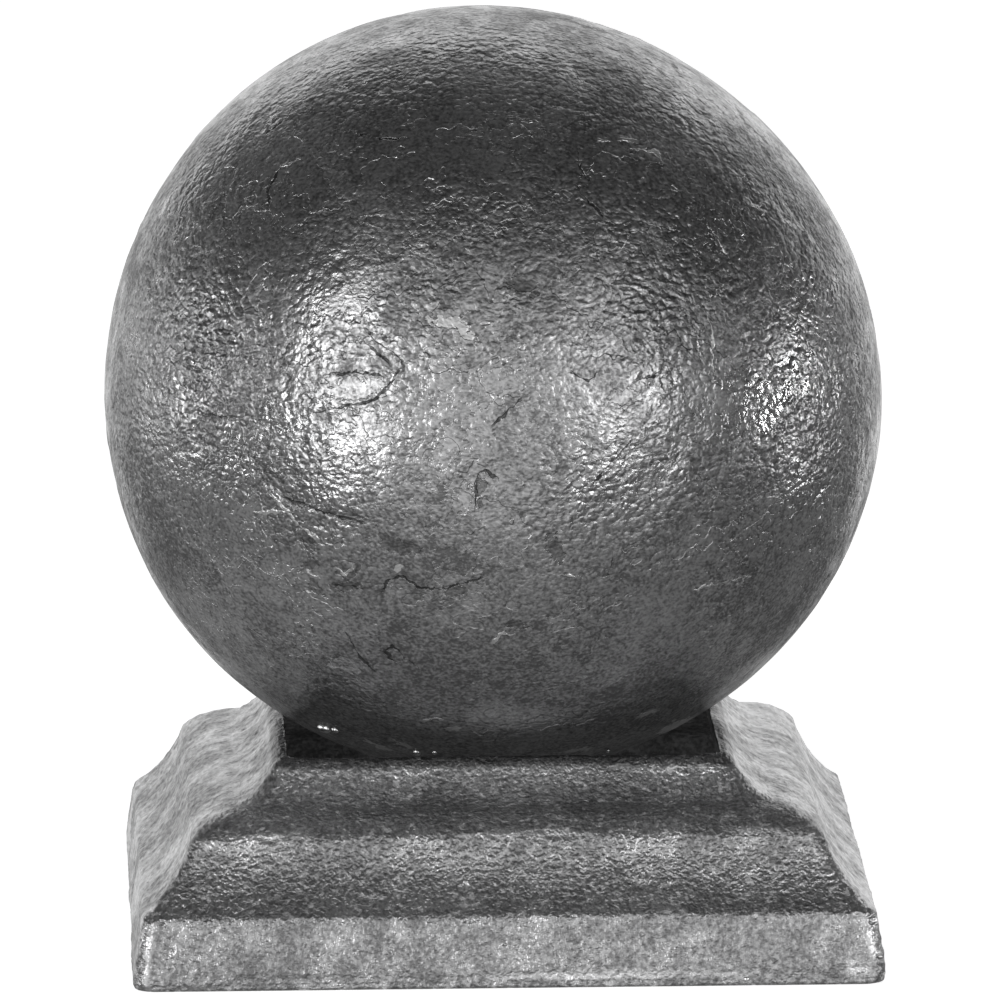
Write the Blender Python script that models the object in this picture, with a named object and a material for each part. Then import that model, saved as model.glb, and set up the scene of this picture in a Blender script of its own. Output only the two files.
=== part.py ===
"""A ball post top: a forged steel ball seated in the square opening of a moulded cast iron cap.

The cap is a hollow square collar. Its outside rises from a plain band through a cove, a
rounded nose and a smaller cove to a thin lip, and its inside is a square socket for the end
of a post. The origin is the middle of the underside, in metres, with +Z up and +Y to the back.
"""

import math

import bmesh
import bpy
from mathutils import Vector

# The post that the cap fits over, and the socket for it.
POST_WIDTH = 0.100
POST_CLEARANCE = 0.0005
SOCKET_WALL = 0.0100
SOCKET_DEPTH = 0.012
SOCKET_CHAMFER = 0.0008
SHOULDER_WIDTH = 0.004

# The cap's outside, from the band up. A run goes inwards and a rise goes up.
BAND_HEIGHT = 0.01175
BAND_DRAFT = 0.00185
FOOT_ROUND = 0.0016
COVE_RUN = 0.0080
COVE_RISE = 0.01125
COVE_HOLLOW = 0.00115
NOSE_RUN = 0.00775
NOSE_RISE = 0.0038
NOSE_SWELL = 0.0012
UPPER_COVE_RUN = 0.0057
UPPER_COVE_RISE = 0.0056
UPPER_COVE_HOLLOW = 0.0007
LIP_THICKNESS = 0.0030
LIP_ROUND = 0.0009

# The cap's wall between the shoulder and the lip.
WALL = 0.0046
LIP_DEPTH = 0.0040

# Corner radii in plan, and how finely a quarter turn is divided.
BAND_CORNER = 0.0030
MOULDING_CORNER = 0.0014
SOCKET_CORNER = 0.0030
OPENING_CORNER = 0.0012
CORNER_STEPS = 6
ARC_STEPS = 5

# The ball. It is a little out of round, as hot forging leaves it, and sits just off centre.
BALL_DIAMETER = 0.125
BALL_SUBDIVISIONS = 5
BALL_ASIDE = -0.0007
SEAT_GAP = 0.0003
OVAL = 0.0160
OVAL_TILT = math.radians(-21)
LOBE = 0.0058
LOBE_TILT = math.radians(-11)

# Half widths and heights that follow from the sizes above.
SOCKET_HALF = POST_WIDTH / 2 + POST_CLEARANCE
BASE_HALF = SOCKET_HALF + SOCKET_WALL
BAND_TOP_HALF = BASE_HALF - BAND_DRAFT
NOSE_HALF = BAND_TOP_HALF - COVE_RUN
LEDGE_HALF = NOSE_HALF - NOSE_RUN
LIP_HALF = LEDGE_HALF - UPPER_COVE_RUN
OPENING_HALF = LIP_HALF - LIP_THICKNESS
NOSE_HEIGHT = BAND_HEIGHT + COVE_RISE
LEDGE_HEIGHT = NOSE_HEIGHT + NOSE_RISE
LIP_HEIGHT = LEDGE_HEIGHT + UPPER_COVE_RISE
CAP_HEIGHT = LIP_HEIGHT + LIP_ROUND
BALL_RADIUS = BALL_DIAMETER / 2


def remove_everything():
    for obj in list(bpy.data.objects):
        bpy.data.objects.remove(obj)


def metal(name, colour, roughness):
    """A Principled metal of one colour."""
    material = bpy.data.materials.new(name)
    material.use_nodes = True
    shader = material.node_tree.nodes["Principled BSDF"]
    shader.inputs["Base Color"].default_value = (*colour, 1.0)
    shader.inputs["Roughness"].default_value = roughness
    shader.inputs["Metallic"].default_value = 1.0
    return material


def arc(start, end, swell, steps=ARC_STEPS):
    """Points after start and up to end, on the circular arc that stands swell off their chord.

    A positive swell bulges to the right of the way from start to end, which is outwards on a
    profile that climbs the outside of the cap.
    """
    start, end = Vector(start), Vector(end)
    chord = end - start
    across = Vector((chord.y, -chord.x)).normalized()
    half = chord.length / 2
    radius = (half**2 + swell**2) / (2 * abs(swell))
    side = math.copysign(1, swell)
    centre = (start + end) / 2 + across * side * (abs(swell) - radius)
    sweep = 2 * math.asin(half / radius)
    along = chord.normalized()
    points = []
    for step in range(1, steps + 1):
        turn = -sweep / 2 + sweep * step / steps
        points.append(centre + radius * (along * math.sin(turn) + across * side * math.cos(turn)))
    return points


def outer_profile():
    """(half width, height, corner radius) up the outside, from the foot to the top of the lip."""
    foot_run = FOOT_ROUND / BAND_HEIGHT * BAND_DRAFT
    band_foot = (BASE_HALF - foot_run, FOOT_ROUND)
    foot_swell = FOOT_ROUND * (1 - math.sqrt(0.5))
    band = [(BASE_HALF - FOOT_ROUND, 0.0)]
    band += arc((BASE_HALF - FOOT_ROUND, 0.0), band_foot, foot_swell)
    band += [(BAND_TOP_HALF, BAND_HEIGHT)]

    nose = (NOSE_HALF, NOSE_HEIGHT)
    ledge = (LEDGE_HALF, LEDGE_HEIGHT)
    lip = (LIP_HALF, LIP_HEIGHT)
    mouldings = arc((BAND_TOP_HALF, BAND_HEIGHT), nose, -COVE_HOLLOW)
    mouldings += arc(nose, ledge, NOSE_SWELL)
    mouldings += arc(ledge, lip, -UPPER_COVE_HOLLOW)
    lip_swell = LIP_ROUND * (1 - math.sqrt(0.5))
    mouldings += arc(lip, (LIP_HALF - LIP_ROUND, CAP_HEIGHT), lip_swell, steps=3)
    return [(*point, BAND_CORNER) for point in band] + [
        (*point, MOULDING_CORNER) for point in mouldings
    ]


def inner_profile():
    """(half width, height, corner radius) down the inside, from the lip to the socket's mouth."""
    opening = [
        (OPENING_HALF, CAP_HEIGHT),
        (OPENING_HALF, CAP_HEIGHT - LIP_DEPTH),
    ]
    hollow = [
        (LEDGE_HALF - WALL / 2, LEDGE_HEIGHT - WALL),
        (NOSE_HALF - WALL, NOSE_HEIGHT - WALL / 2),
        (SOCKET_HALF - SHOULDER_WIDTH, SOCKET_DEPTH),
    ]
    socket = [
        (SOCKET_HALF, SOCKET_DEPTH),
        (SOCKET_HALF, SOCKET_CHAMFER),
        (SOCKET_HALF + SOCKET_CHAMFER, 0.0),
    ]
    return [(*point, OPENING_CORNER) for point in opening] + [
        (*point, SOCKET_CORNER) for point in hollow + socket
    ]


def rounded_square(half, height, radius):
    """Points round a square of this half width whose corners are quarter circles."""
    points = []
    inset = half - radius
    for quarter in range(4):
        first = quarter * math.pi / 2
        corner = Vector((math.cos(first + math.pi / 4), math.sin(first + math.pi / 4)))
        centre = corner * inset * math.sqrt(2)
        for step in range(CORNER_STEPS + 1):
            turn = first + math.pi / 2 * step / CORNER_STEPS
            points.append(
                (centre.x + radius * math.cos(turn), centre.y + radius * math.sin(turn), height)
            )
    return points


def build_cap(material):
    """The square collar: the closed profile, carried round as rings of a rounded square."""
    bm = bmesh.new()
    rings = []
    for half, height, radius in outer_profile() + inner_profile():
        points = rounded_square(half, height, radius)
        rings.append([bm.verts.new(point) for point in points])
    count = len(rings[0])
    for ring, above in zip(rings, rings[1:] + rings[:1]):
        for i in range(count):
            j = (i + 1) % count
            bm.faces.new((ring[i], ring[j], above[j], above[i]))
    bmesh.ops.recalc_face_normals(bm, faces=bm.faces)
    mesh = bpy.data.meshes.new("post_cap")
    bm.to_mesh(mesh)
    bm.free()
    mesh.shade_smooth()
    mesh.set_sharp_from_angle(angle=math.radians(30))
    mesh.materials.append(material)
    cap = bpy.data.objects.new("post_cap", mesh)
    bpy.context.scene.collection.objects.link(cap)
    return cap


def ball_reach(direction):
    """The ball's radius in a unit direction: a sphere, slightly drawn out and slightly lobed."""
    oval_axis = Vector((math.cos(OVAL_TILT), 0, math.sin(OVAL_TILT)))
    lobe_axis = Vector((math.cos(LOBE_TILT), 0, math.sin(LOBE_TILT)))
    oval = direction.dot(oval_axis) ** 2 - 1 / 2
    t = direction.dot(lobe_axis)
    lobe = 4 * t**3 - 3 * t
    return BALL_RADIUS * (1 + OVAL * oval + LOBE * lobe)


def seat_height():
    """The height of the ball's centre at which it just clears all four edges of the opening."""
    heights = []
    for side in range(4):
        turn = side * math.pi / 2
        outward = Vector((math.cos(turn), math.sin(turn), 0))
        across = OPENING_HALF - BALL_ASIDE * outward.x
        drop = math.sqrt(BALL_RADIUS**2 - across**2)
        towards_edge = (outward * across - Vector((0, 0, drop))).normalized()
        reach = ball_reach(towards_edge) + SEAT_GAP
        heights.append(CAP_HEIGHT + math.sqrt(reach**2 - across**2))
    return max(heights)


def build_ball(material):
    """The forged ball, its centre above the opening."""
    bm = bmesh.new()
    bmesh.ops.create_icosphere(bm, subdivisions=BALL_SUBDIVISIONS, radius=1.0)
    for vertex in bm.verts:
        direction = vertex.co.normalized()
        vertex.co = direction * ball_reach(direction)
    mesh = bpy.data.meshes.new("ball")
    bm.to_mesh(mesh)
    bm.free()
    mesh.shade_smooth()
    mesh.materials.append(material)
    ball = bpy.data.objects.new("ball", mesh)
    ball.location = (BALL_ASIDE, 0, seat_height())
    bpy.context.scene.collection.objects.link(ball)
    return ball


def build_post_top():
    remove_everything()
    post_top = bpy.data.objects.new("post_top", None)
    bpy.context.scene.collection.objects.link(post_top)
    cap = build_cap(metal("cast_iron", (0.19, 0.19, 0.195), 0.55))
    ball = build_ball(metal("forged_steel", (0.12, 0.12, 0.125), 0.40))
    for piece in (cap, ball):
        piece.parent = post_top


build_post_top()
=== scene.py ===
"""Ball post top: the looks of a hot forged ball on a sand cast cap, and the studio around them.

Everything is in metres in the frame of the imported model: the origin is the middle of the cap's
underside, +Z is up and -Y faces the camera.
"""

import math

import bpy
import numpy as np
from bpy.props import FloatProperty, FloatVectorProperty, IntProperty, PointerProperty
from mathutils import Matrix, Vector


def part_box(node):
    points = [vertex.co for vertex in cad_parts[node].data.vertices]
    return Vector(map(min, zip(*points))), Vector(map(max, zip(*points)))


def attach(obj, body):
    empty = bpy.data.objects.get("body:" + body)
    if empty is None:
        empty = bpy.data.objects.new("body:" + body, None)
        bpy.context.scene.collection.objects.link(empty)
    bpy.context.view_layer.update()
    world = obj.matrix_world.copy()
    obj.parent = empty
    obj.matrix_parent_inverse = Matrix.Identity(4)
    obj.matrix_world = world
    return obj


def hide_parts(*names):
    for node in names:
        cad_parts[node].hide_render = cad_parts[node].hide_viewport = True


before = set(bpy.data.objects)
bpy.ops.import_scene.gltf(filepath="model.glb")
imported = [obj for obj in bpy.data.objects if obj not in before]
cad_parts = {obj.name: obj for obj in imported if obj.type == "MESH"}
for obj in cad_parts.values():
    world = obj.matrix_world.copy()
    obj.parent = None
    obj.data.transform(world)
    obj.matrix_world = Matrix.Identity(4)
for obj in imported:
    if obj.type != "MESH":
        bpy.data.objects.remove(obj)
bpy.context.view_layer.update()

bl_info = {
    "name": "Ball Post Top",
    "version": (1, 0, 0),
    "blender": (4, 5, 0),
    "location": "View3D > Sidebar > Post Top",
    "description": "A forged ball on a moulded square cap, with its studio",
    "category": "Object",
}

MM = 0.001
CAP_HIGH = np.array(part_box("post_cap")[1])
BALL_LOW, BALL_HIGH = (np.array(corner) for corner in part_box("ball"))

# The photograph's frame, which the camera's focal length is given in.
PHOTO_PIXELS = 1000
SENSOR_MM = 36

BLUE_TRACE = 1.01


def length(name, description, default, low=0.0):
    """A length in metres, shown with its unit."""
    return FloatProperty(
        name=name, description=description, default=default, min=low, unit="LENGTH", precision=5
    )


def angle(name, description, degrees):
    return FloatProperty(
        name=name, description=description, default=math.radians(degrees), subtype="ANGLE"
    )


def share(name, description, default):
    return FloatProperty(name=name, description=description, default=default, min=0.0, max=1.0)


def amount(name, description, default):
    return FloatProperty(name=name, description=description, default=default, min=0.0)


def whole_number(name, description, default, low):
    return IntProperty(name=name, description=description, default=default, min=low)


def grey(name, description, value):
    """The colour of a metal: this grey with a trace of blue."""
    colour = (value, value, value * BLUE_TRACE)
    return FloatVectorProperty(
        name=name, description=description, default=colour, subtype="COLOR", min=0.0, max=1.0
    )


class BallSettings(bpy.types.PropertyGroup):
    """The forged ball: its form, the relief of its skin and its colours."""

    diameter: length("Diameter", "Nominal diameter of the ball", 0.125)
    oval: share("Oval", "How much longer the ball is along its oval axis", 0.016)
    oval_tilt: angle("Oval tilt", "Rise of the oval axis from the right", -21)
    lobe: share("Lobe", "Height of the three slight lobes, as a share of the radius", 0.0058)
    lobe_tilt: angle("Lobe tilt", "Rise of the first lobe from the right", -11)
    cells: whole_number("Cells", "Divisions along each of the cube's edges", 126, low=8)
    swell_size: length("Swell size", "Width of the broad unevenness left by the dies", 0.030)
    swell_depth: length("Swell depth", "Depth of the broad unevenness", 0.00022)
    dapple_size: length("Dapple size", "Width of the hammered dapples", 0.0075)
    dapple_depth: length("Dapple depth", "Depth of the dapples", 0.00009)
    scale_step: length("Scale step", "Height of the mill scale's broken edge", 0.00010)
    pit_depth: length("Pit depth", "Depth of the scattered pits", 0.00024)
    chip_depth: length("Chip depth", "Depth of the chips in the mill scale", 0.00014)
    pebble_size: length("Pebble size", "Width of the fine pebbles", 0.00125)
    pebble_depth: length("Pebble depth", "Height of the fine pebbles", 0.00024)
    dark: grey("Scale colour", "Colour of thick mill scale", 0.15)
    light: grey("Worn colour", "Colour where the scale is thin or rubbed", 0.46)
    roughness: share("Roughness", "Middle roughness of the skin", 0.34)


class CapSettings(bpy.types.PropertyGroup):
    """The cast cap: its profile, the relief of its skin and its colours."""

    band_height: length("Band height", "Height of the plain band", 0.01175)
    band_draft: length("Band draft", "How far the band leans in over its height", 0.00185)
    foot_round: length("Foot round", "Radius of the band's lower edge", 0.0016)
    cove_run: length("Cove run", "Width of the cove, inwards", 0.0080)
    cove_rise: length("Cove rise", "Height of the cove", 0.01125)
    cove_hollow: length("Cove hollow", "Depth of the cove below its chord", 0.00115)
    nose_run: length("Nose run", "Width of the rounded nose, inwards", 0.00775)
    nose_rise: length("Nose rise", "Height of the nose", 0.0038)
    nose_swell: length("Nose swell", "Rise of the nose above its chord", 0.0008)
    upper_run: length("Upper cove run", "Width of the upper cove, inwards", 0.0057)
    upper_hollow: length("Upper cove hollow", "Depth of the upper cove below its chord", 0.0007)
    lip_thickness: length("Lip thickness", "Width of the lip round the opening", 0.0030)
    lip_run: length("Lip run", "Width of the lip's rounded shoulder, inwards", 0.0023)
    lip_rise: length("Lip rise", "Height of the lip's rounded shoulder", 0.00135)
    lip_swell: length("Lip swell", "Rise of the shoulder above its chord", 0.00036)
    lip_depth: length("Lip depth", "Height of the opening's straight wall", 0.0040)
    wall: length("Wall", "Thickness of the casting", 0.0046)
    socket_depth: length("Socket depth", "Depth of the socket for the post", 0.012)
    socket_wall: length("Socket wall", "Thickness of the band round the socket", 0.0100)
    socket_chamfer: length("Socket chamfer", "Chamfer of the socket's mouth", 0.0008)
    shoulder: length("Shoulder", "Width of the ledge that rests on the post", 0.0040)
    band_corner: length("Band corner", "Corner radius of the band in plan", 0.0030)
    moulding_corner: length("Moulding corner", "Corner radius of the mouldings in plan", 0.0027)
    opening_corner: length("Opening corner", "Corner radius of the opening in plan", 0.0012)
    socket_corner: length("Socket corner", "Corner radius of the socket in plan", 0.0030)
    soften_passes: whole_number("Soften passes", "How often corners are rounded", 2, low=0)
    spacing: length("Spacing", "Distance between points along the profile", 0.00062)
    warp_size: length("Warp size", "Width of the casting's gentle unevenness", 0.017)
    warp_depth: length("Warp depth", "Depth of the gentle unevenness", 0.00030)
    sand_size: length("Sand size", "Width of the coarser sand marks", 0.0022)
    sand_depth: length("Sand depth", "Depth of the coarser sand marks", 0.00015)
    grit_size: length("Grit size", "Width of the rough grit in the skin", 0.0012)
    grit_depth: length("Grit depth", "Depth of the rough grit in the skin", 0.00030)
    tuck_height: length("Tuck height", "Height below which the foot is tucked in", 0.0026)
    tuck_depth: length("Tuck depth", "How far the foot is tucked in", 0.00030)
    dent_depth: length("Dent depth", "Depth of the dents", 0.00045)
    grain_size: length("Grain size", "Width of the fine sand grain", 0.00085)
    grain_depth: length("Grain depth", "Depth of the fine sand grain", 0.00039)
    dark: grey("Skin colour", "Colour of the casting's skin", 0.19)
    light: grey("Rubbed colour", "Colour where the skin is rubbed", 0.72)
    roughness: share("Roughness", "Middle roughness of the skin", 0.40)


class StudioSettings(bpy.types.PropertyGroup):
    """The camera, the lights and the floor."""

    distance: length("Distance", "Camera to the aim point", 2.672)
    focal_pixels: amount("Focal length", "Focal length in pixels of the photograph", 16537)
    turn: angle("Turn", "How far the camera stands round to the right", -1.85)
    rise: angle("Rise", "How far the camera looks down", 10.08)
    roll: angle("Roll", "Tilt of the picture", -0.27)
    aim_height: length("Aim height", "Height of the point in the middle of the picture", 0.0683)
    aim_aside: length("Aim aside", "How far right of the middle it lies", 0.00064, low=-1.0)
    backdrop: amount("Backdrop", "Brightness of the white paper behind", 1.5)
    front: amount("Front", "Added brightness of the room round the camera", 0.90)
    overhead: amount("Overhead", "Brightness of the room above the object", 0.125)
    below: amount("Below", "Brightness of the room below the object", 0.45)
    floor: share("Floor", "Lightness of the pale floor", 0.90)
    floor_glow: share("Floor glow", "Light that the floor gives off by itself", 0.78)


class PostTopSettings(bpy.types.PropertyGroup):
    """All the settings, as the panel shows them."""

    ball: PointerProperty(type=BallSettings)
    cap: PointerProperty(type=CapSettings)
    studio: PointerProperty(type=StudioSettings)


# Noise, as whole arrays


CELL_CORNERS = np.array([(i, j, k) for i in (0, 1) for j in (0, 1) for k in (0, 1)])
NEIGHBOURS = np.array([(i, j, k) for i in (-1, 0, 1) for j in (-1, 0, 1) for k in (-1, 0, 1)])
MIX_A, MIX_B, MIX_C, MIX_D = (
    np.uint32(n) for n in (374761393, 668265263, 2246822519, 1274126177)
)
SEED_STEP, SEED_START = 144665, 7919
# What brings the blended slopes to about -1 to 1.
NOISE_GAIN = 1.6


def scatter(cells, seed):
    """A repeatable number from 0 to 1 for each whole-number point: the products with three large
    odd numbers are added to the seed's, then folded on themselves twice."""
    x, y, z = (cells[..., axis].astype(np.uint32) for axis in range(3))
    mixed = x * MIX_A + y * MIX_B + z * MIX_C + np.uint32(seed * SEED_STEP + SEED_START)
    mixed = (mixed ^ (mixed >> np.uint32(13))) * MIX_D
    mixed = (mixed ^ (mixed >> np.uint32(15))) * MIX_B
    return (mixed ^ (mixed >> np.uint32(16))).astype(np.float64) / 2**32


def noise(points, seed):
    """Smooth noise of about -1 to 1: every corner of a unit lattice has a slope of its own, and
    the eight around a point are blended with the fade 6t^5 - 15t^4 + 10t^3."""
    base = np.floor(points).astype(np.int64)
    offset = points - base
    fade = offset**3 * (offset * (offset * 6 - 15) + 10)
    total = np.zeros(points.shape[:-1])
    for corner in CELL_CORNERS:
        slope = np.stack([scatter(base + corner, seed + 31 * axis) for axis in range(3)], axis=-1)
        weight = np.prod(np.where(corner, fade, 1 - fade), axis=-1)
        total += weight * np.sum((2 * slope - 1) * (offset - corner), axis=-1)
    return NOISE_GAIN * total


def layered(points, size, seed, octaves=3, fall=0.5):
    """Noise summed over octaves: each has half the size and fall times the height of the last."""
    total = np.zeros(points.shape[:-1])
    height = 1.0
    for octave in range(octaves):
        total += height * noise(points * (2**octave / size), seed + 101 * octave)
        height *= fall
    return total


def sunk(points, depth, size, seed, octaves=2, fall=0.5):
    """Layered noise as a depth, of about 0 to the full depth."""
    return depth * (0.5 + 0.5 * layered(points, size, seed, octaves, fall))


def nearest_cell(points, size, seed):
    """The distance to the nearest of points scattered one to a cell, in cells, and the random
    number that this nearest cell has."""
    scaled = points / size
    base = np.floor(scaled).astype(np.int64)
    best = np.full(points.shape[:-1], 9.0)
    own = np.zeros(points.shape[:-1])
    for step in NEIGHBOURS:
        cell = base + step
        middle = np.stack([scatter(cell, seed + 17 * axis) for axis in range(3)], axis=-1)
        distance = np.linalg.norm(cell + middle - scaled, axis=-1)
        own = np.where(distance < best, scatter(cell, seed + 977), own)
        best = np.minimum(best, distance)
    return best, own


def smooth_step(low, high, value):
    """0 below low, 1 above high, and 3t^2 - 2t^3 between them."""
    t = np.clip((value - low) / (high - low), 0, 1)
    return t * t * (3 - 2 * t)


# Meshes


def add_object(name, data):
    """A new object of the scene, at the origin."""
    made = bpy.data.objects.new(name, data)
    bpy.context.scene.collection.objects.link(made)
    return made


def make_mesh(name, points, quads, material):
    """A smooth-shaded object, from an array of points and one of quads."""
    mesh = bpy.data.meshes.new(name)
    mesh.from_pydata(points, [], quads.tolist())
    mesh.shade_smooth()
    mesh.update()
    mesh.materials.append(material)
    return add_object(name, mesh)


def add_attributes(piece, marks):
    """A number for each point of the mesh under each name, which a material reads by name."""
    for name, values in marks.items():
        attribute = piece.data.attributes.new(name, "FLOAT", "POINT")
        attribute.data.foreach_set("value", values.reshape(-1).astype(np.float32))


def stands_for(piece, node):
    """The piece replaces a CAD node: it rides on the root body, and the node is hidden."""
    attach(piece, "root")
    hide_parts(node)


# The forged ball

# How finely the ball is divided to find its box, and a bead of spatter.
OUTLINE_CELLS = 24
BEAD_CELLS = 6


def ball_reach(directions, ball):
    """The radius in each unit direction: the nominal radius times one, plus the oval's squared
    cosine to its axis less a half, plus the lobes' triple-angle cosine 4t^3 - 3t to theirs."""
    oval_axis = np.array([math.cos(ball.oval_tilt), 0, math.sin(ball.oval_tilt)])
    lobe_axis = np.array([math.cos(ball.lobe_tilt), 0, math.sin(ball.lobe_tilt)])
    oval = (directions @ oval_axis) ** 2 - 1 / 2
    t = directions @ lobe_axis
    lobe = 4 * t**3 - 3 * t
    return ball.diameter / 2 * (1 + ball.oval * oval + ball.lobe * lobe)


def cube_grid(cells):
    """Points and quads of a cube of whole numbers from 0 to cells, its six grids welded."""
    steps = np.arange(cells + 1)
    u, v = np.meshgrid(steps, steps, indexing="ij")
    flat = np.zeros_like(u)
    sides = []
    for axis in range(3):
        for level in (0, cells):
            grid = [None, None, None]
            grid[axis] = flat + level
            grid[(axis + 1) % 3], grid[(axis + 2) % 3] = (u, v) if level else (v, u)
            sides.append(np.stack(grid, axis=-1).reshape(-1, 3))
    points, index = np.unique(np.concatenate(sides), axis=0, return_inverse=True)
    index = index.reshape(6, cells + 1, cells + 1)
    quads = np.stack(
        [index[:, :-1, :-1], index[:, 1:, :-1], index[:, 1:, 1:], index[:, :-1, 1:]], axis=-1
    )
    return points, quads.reshape(-1, 4)


def ball_directions(cells):
    """Unit directions spread evenly: each cube point's numbers, from -1 to 1, become the
    tangents of an eighth turn times them, and the point is drawn in to length one."""
    points, quads = cube_grid(cells)
    spread = np.tan((points / cells * 2 - 1) * math.pi / 4)
    return spread / np.linalg.norm(spread, axis=1, keepdims=True), quads


def ball_centre(ball):
    """Where the ball's centre is, so that the shape's own box meets the CAD node's."""
    directions, _ = ball_directions(OUTLINE_CELLS)
    shape = directions * ball_reach(directions, ball)[:, None]
    return (BALL_LOW + BALL_HIGH) / 2 - (shape.min(axis=0) + shape.max(axis=0)) / 2


# Sizes in the ball's skin: how its noise drifts, the areas of broken scale, and the cells that
# may hold a pit, with the share of them that holds none.
DRIFT_SIZE = 9 * MM
BROKEN_SIZE = 21 * MM
PIT_CELL = 8.5 * MM
UNPITTED = 0.86


def ball_relief(points, ball):
    """How far the skin lies below the true form, and how bare of scale it is. The depth is broad
    swells and dapples, plus the step down where layered noise says that the mill scale has
    broken away, plus round pits in one cell of seven."""
    drift = MM * np.stack([layered(points, DRIFT_SIZE, seed, 2) for seed in (3, 4, 5)], axis=-1)
    swell = sunk(points, ball.swell_depth, ball.swell_size, 11)
    stretched = (points + drift) * (1, 1, 1.35)
    dapple = sunk(stretched, ball.dapple_depth, ball.dapple_size, 23, 2, 0.6)
    bare = smooth_step(0.26, 0.34, layered(points + 1.6 * drift, BROKEN_SIZE, 37, 4, 0.62))
    distance, own = nearest_cell(points + drift, PIT_CELL, 53)
    radius = 0.10 + 0.16 * own
    pit = smooth_step(0, 1, 1 - distance / radius) * (own > UNPITTED)
    return swell + dapple + ball.scale_step * bare + ball.pit_depth * pit, bare


# Marks that show on the front. A stroke is its channel and the pixels of the photograph that it
# runs through, and strokes of one channel stay 16 pixels apart. A patch is the pixel of its
# middle, its half length and half width in pixels, and its slant in degrees, clockwise.
# The ridge channels are thin raised light lines: scratches and flake edges, and painted glints
# and reflections, as along the seat.
STROKES = {
    "upper_plate_edge": ("crack_a", (328, 374), (357, 372), (385, 376)),
    "lower_plate_edge": ("crack_b", (320, 411), (357, 403), (376, 399), (391, 381), (402, 368)),
    "spine_below": ("crack_c", (366, 343), (378, 353), (388, 363)),
    "spine_above": ("crack_d", (370, 334), (385, 347), (404, 362), (402, 368)),
    "trough_end": ("crack_a", (284, 498), (320, 512), (362, 523)),
    "short_dash": ("crack_a", (493, 425), (520, 400)),
    "hook": ("crack_a", (572, 374), (589, 381), (596, 374)),
    "comma": ("crack_b", (642, 378), (658, 374)),
    "fill_crease": ("crack_b", (619, 407), (638, 402)),
    "fill_diagonal": ("crack_a", (631, 443), (612, 462), (596, 483)),
    "rim_wave": ("crack_a", (241, 135), (264, 134), (279, 123)),
    "shoulder_edge": ("crack_a", (279, 167), (267, 190), (268, 205)),
    "arch": ("crack_a", (475, 506), (477, 474), (487, 471), (497, 479)),
    "flake_edge": (
        "crack_a", (382, 590), (390, 578), (400, 576), (422, 589), (446, 589), (480, 579)
    ),
    "low_dash": ("crack_b", (336, 587), (356, 588)),
    "box_top": ("crack_a", (384, 652), (392, 646), (402, 656), (418, 667)),
    "box_side": ("crack_b", (384, 652), (394, 662)),
    "low_diagonal": ("crack_a", (344, 632), (358, 654), (372, 672)),
    "upright": ("crack_b", (612, 558), (610, 574)),
    "top_rim_crack": ("crack_a", (566, 18), (592, 28), (608, 32)),
    "top_dash": ("crack_a", (508, 44), (518, 45)),
    "top_wave": ("crack_b", (576, 62), (600, 69), (622, 72)),
    "top_right_dash": ("crack_a", (650, 62), (664, 74)),
    "top_right_crease": ("crack_b", (648, 88), (670, 96)),
    "rim_nick": ("crack_b", (674, 64), (680, 73)),
    "right_rim_crack": ("crack_a", (738, 108), (746, 124), (758, 132), (768, 142)),
    "right_rim_next": ("crack_a", (776, 174), (784, 182)),
    "fork_stem": ("crack_a", (578, 150), (580, 166), (588, 178)),
    "fork_tail": ("crack_b", (576, 186), (588, 200), (604, 214)),
    "high_wave": ("crack_b", (334, 127), (355, 132), (380, 139), (402, 137)),
    "left_crease": ("crack_b", (210, 415), (236, 417)),
    "bright_upright": ("ridge_a", (707, 313), (713, 325), (714, 357), (715, 376)),
    "shoulder_glint": ("ridge_a", (283, 164), (297, 159)),
    "upper_glint": ("ridge_a", (367, 223), (377, 226)),
    "upper_glint_next": ("ridge_b", (367, 215), (381, 213)),
    "right_glint": ("ridge_a", (744, 399), (759, 383)),
    "scratch": ("ridge_a", (272, 497), (285, 510), (297, 525), (317, 540)),
    "scratch_branch": ("ridge_b", (256, 513), (284, 512)),
    "top_flake_edge": ("ridge_a", (572, 72), (580, 80), (596, 88)),
    "glint_a": ("ridge_a", (600, 138), (608, 139)),
    "glint_b": ("ridge_b", (623, 139), (634, 140)),
    "curl": ("ridge_a", (634, 148), (656, 150), (662, 158)),
    "gull": ("ridge_a", (747, 198), (752, 204), (758, 206), (764, 203)),
    "right_thread": ("ridge_a", (709, 226), (720, 240), (726, 250)),
    "right_flake_edge": ("ridge_b", (778, 186), (784, 202), (796, 218), (814, 242)),
    "low_glint": ("ridge_a", (563, 575), (578, 577)),
    "low_thread": ("ridge_a", (698, 590), (746, 578)),
    "ring_foot": ("ridge_a", (338, 571), (344, 575), (351, 570)),
    "low_hook": ("ridge_a", (494, 642), (500, 635), (512, 634)),
    "bottom_glint_a": ("ridge_a", (424, 721), (441, 720)),
    "bottom_glint_b": ("ridge_a", (640, 717), (655, 712)),
    "seat_glint_a": ("ridge_a", (360, 738), (375, 745), (390, 752)),
    "seat_glint_b": ("ridge_b", (392, 742), (410, 749)),
    "seat_glint_c": ("ridge_a", (568, 752), (590, 749)),
}
# Flakes: smooth patches of scale, painted light as highlights where they face the key light, and
# at the seat as a painted reflection of the rim.
FLAKE_HIGHLIGHTS = {
    "bright_triangle": (448, 321, 17, 6, 8),
    "bright_triangle_tip": (462, 328, 14, 6, 40),
    "speck_glint": (398, 569, 4, 3, 0),
    "seat_wedge": (683, 727, 24, 6, -18),
    "bottom_speck": (452, 730, 9, 3, 0),
    "upper_spark": (316, 302, 7, 3, -15),
}
PLATES = {
    "upper_plate": (352, 389, 34, 12, 0),
    "lower_plate": (366, 425, 30, 15, 10),
    "fill_plate": (623, 398, 14, 10, 0),
    "beside_arch": (461, 502, 20, 8, -65),
    "above_key": (350, 300, 26, 14, -20),
    "low_left": (250, 600, 60, 40, 30),
}
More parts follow.
